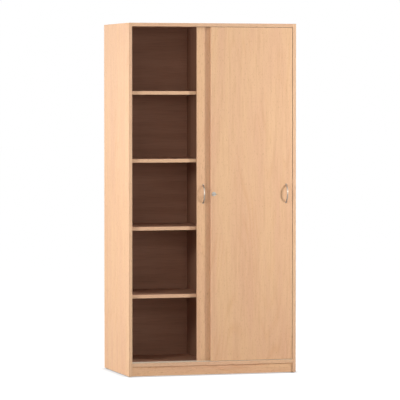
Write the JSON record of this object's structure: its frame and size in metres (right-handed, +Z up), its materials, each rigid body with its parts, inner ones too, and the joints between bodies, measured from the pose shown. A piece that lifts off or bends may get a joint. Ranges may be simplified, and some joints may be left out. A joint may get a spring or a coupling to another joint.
{
  "type": "sliding door cabinet",
  "caption": "Tall cabinet with two overlapping sliding wooden doors on a bottom rail, a centre partition, adjustable shelves, bow handles and a push lock.",
  "frame": {"origin": "bottom centre of the bounding box, with the handles and the key included", "axes": "+Z up, +X to the right as seen from in front, +Y from the doors to the back"},
  "size_m": [0.95, 0.5782, 1.92],
  "materials": {
    "beech_board": "melamine-faced chipboard, light beech grain, silk matt",
    "dark_board": "melamine-faced board, dark brown, silk matt",
    "edging_strip": "2 mm beech edging, silk matt",
    "pin_steel": "zinc plated",
    "rail_aluminium": "anodised, champagne",
    "guide_plastic": "moulded, brown",
    "roller_plastic": "moulded, natural",
    "glide_plastic": "moulded, grey",
    "buffer_rubber": "matt",
    "satin_nickel": "satin nickel plate",
    "lock_metal": "satin nickel plate",
    "key_steel": "nickel plated steel"
  },
  "bodies": {
    "cabinet": {"back_panel": "dark_board", "bottom_board": "beech_board", "bottom_board_edging": "edging_strip", "bottom_rail": "rail_aluminium", "centre_partition": "dark_board", "door_buffers": "buffer_rubber", "floor_glides": "glide_plastic", "left_side_edging": "edging_strip", "left_side_panel": "beech_board", "partition_edging": "edging_strip", "plinth_front": "beech_board", "plinth_rear": "beech_board", "right_side_edging": "edging_strip", "right_side_panel": "beech_board", "shelf_edging_left": "edging_strip", "shelf_edging_right": "edging_strip", "shelf_left_1": "dark_board", "shelf_left_2": "dark_board", "shelf_left_3": "dark_board", "shelf_left_4": "dark_board", "shelf_pins_left": "pin_steel", "shelf_pins_middle": "pin_steel", "shelf_pins_right": "pin_steel", "shelf_right_1": "dark_board", "shelf_right_2": "dark_board", "shelf_right_3": "dark_board", "shelf_right_4": "dark_board", "top_board": "beech_board", "top_board_edging": "edging_strip", "top_guide_channel": "guide_plastic"},
    "left_door": {"left_door_edging": "edging_strip", "left_door_handle": "satin_nickel", "left_door_panel": "beech_board", "left_door_roller_housings": "guide_plastic", "left_door_top_guides": "guide_plastic"},
    "right_door": {"lock_housing": "lock_metal", "right_door_edging": "edging_strip", "right_door_handle": "satin_nickel", "right_door_panel": "beech_board", "right_door_roller_housings": "guide_plastic", "right_door_top_guides": "guide_plastic"},
    "lock_plunger": {"lock_plunger": "lock_metal"},
    "key_core": {"key": "key_steel", "lock_core": "lock_metal"},
    "left_door_left_roller": {"left_door_left_roller": "roller_plastic"},
    "left_door_right_roller": {"left_door_right_roller": "roller_plastic"},
    "right_door_left_roller": {"right_door_left_roller": "roller_plastic"},
    "right_door_right_roller": {"right_door_right_roller": "roller_plastic"}
  },
  "joints": [
    {"name": "left_door_slide", "type": "slide", "parent": "cabinet", "child": "left_door", "axis": [1, 0, 0], "range_m": [-0.37, 0]},
    {"name": "right_door_slide", "type": "slide", "parent": "cabinet", "child": "right_door", "axis": [1, 0, 0], "range_m": [-0.03, 0]},
    {"name": "lock_push", "type": "slide", "parent": "right_door", "child": "lock_plunger", "axis": [0, 1, 0], "range_m": [0, 0.0055], "stiffness_N_per_m": 400, "springref_m": -0.004},
    {"name": "key_turn", "type": "hinge", "parent": "lock_plunger", "child": "key_core", "pos_m": [0.005, -0.26085, 0.99], "axis": [0, 1, 0], "range_deg": [0, 90]},
    {"name": "left_door_left_roller_turn", "type": "hinge", "parent": "left_door", "child": "left_door_left_roller", "pos_m": [-0.004, -0.21885, 0.0888], "axis": [0, 1, 0], "range_deg": [-2361, 5]},
    {"name": "left_door_right_roller_turn", "type": "hinge", "parent": "left_door", "child": "left_door_right_roller", "pos_m": [0.302, -0.21885, 0.0888], "axis": [0, 1, 0], "range_deg": [-2361, 5]},
    {"name": "right_door_left_roller_turn", "type": "hinge", "parent": "right_door", "child": "right_door_left_roller", "pos_m": [0.068, -0.24085, 0.0888], "axis": [0, 1, 0], "range_deg": [-196, 5]},
    {"name": "right_door_right_roller_turn", "type": "hinge", "parent": "right_door", "child": "right_door_right_roller", "pos_m": [0.374, -0.24085, 0.0888], "axis": [0, 1, 0], "range_deg": [-196, 5]}
  ],
  "couplings": [
    {"joint": "left_door_left_roller_turn", "follows": "left_door_slide", "rad_per_m": 111.11},
    {"joint": "left_door_right_roller_turn", "follows": "left_door_slide", "rad_per_m": 111.11},
    {"joint": "right_door_left_roller_turn", "follows": "right_door_slide", "rad_per_m": 111.11},
    {"joint": "right_door_right_roller_turn", "follows": "right_door_slide", "rad_per_m": 111.11}
  ]
}
